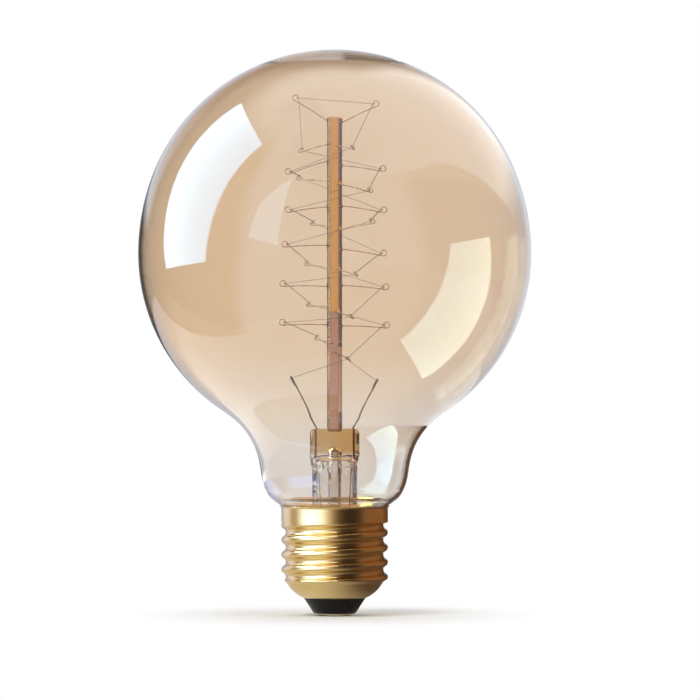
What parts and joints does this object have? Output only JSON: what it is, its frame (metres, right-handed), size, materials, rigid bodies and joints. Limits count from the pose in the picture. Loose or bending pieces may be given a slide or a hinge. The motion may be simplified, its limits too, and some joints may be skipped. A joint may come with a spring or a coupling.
{
  "type": "filament bulb",
  "caption": "Clear amber globe lamp with a long filament strung over wire supports on a glass rod, on a medium screw cap.",
  "frame": {"origin": "on the bulb's axis, at the lowest face of the centre contact", "axes": "+Z along the axis from the cap to the globe's top; +X to the right of the pictured front, in the plane of the two lead wires"},
  "size_m": [0.0962, 0.0962, 0.1384],
  "materials": {
    "amber_glass": "clear blown glass with a thin amber lustre that fades towards the neck",
    "stem_glass": "clear fire-polished glass",
    "rod_glass": "clear drawn glass rod",
    "filament_wire": "dark, very fine coiled wire",
    "lead_wire": "drawn nickel-plated wire, darkened",
    "seal_wire": "copper-clad wire, red-brown in the glass",
    "support_wire": "drawn wire, dull grey-brown",
    "copper_wire": "bare copper",
    "cap_brass": "bright rolled brass",
    "black_glass": "opaque black moulded glass, satin",
    "solder": "soft solder, slightly dull",
    "cement": "baked basing cement, matt"
  },
  "bodies": {
    "root": {"glass_envelope": "amber_glass", "glass_stem": "stem_glass", "exhaust_tube": "stem_glass", "centre_rod": "rod_glass", "filament": "filament_wire", "lead_wire_left": "lead_wire", "lead_wire_right": "lead_wire", "seal_wire_left": "seal_wire", "seal_wire_right": "seal_wire", "fuse_link": "support_wire", "outer_lead_contact": "copper_wire", "outer_lead_shell": "copper_wire", "screw_shell": "cap_brass", "base_insulator": "black_glass", "contact_plate": "cap_brass", "contact_solder": "solder", "rim_solder": "solder", "basing_cement": "cement", "support_1_left": "support_wire", "support_1_right": "support_wire", "support_1_back": "support_wire", "support_1_front": "support_wire", "support_2_left": "support_wire", "support_2_right": "support_wire", "support_2_back": "support_wire", "support_2_front": "support_wire", "support_3_left": "support_wire", "support_3_right": "support_wire", "support_3_back": "support_wire", "support_3_front": "support_wire", "support_4_left": "support_wire", "support_4_right": "support_wire", "support_4_back": "support_wire", "support_4_front": "support_wire", "support_5_left": "support_wire", "support_5_right": "support_wire", "support_5_back": "support_wire", "support_5_front": "support_wire", "support_6_left": "support_wire", "support_6_right": "support_wire", "support_6_back": "support_wire", "support_6_front": "support_wire"}
  },
  "joints": []
}
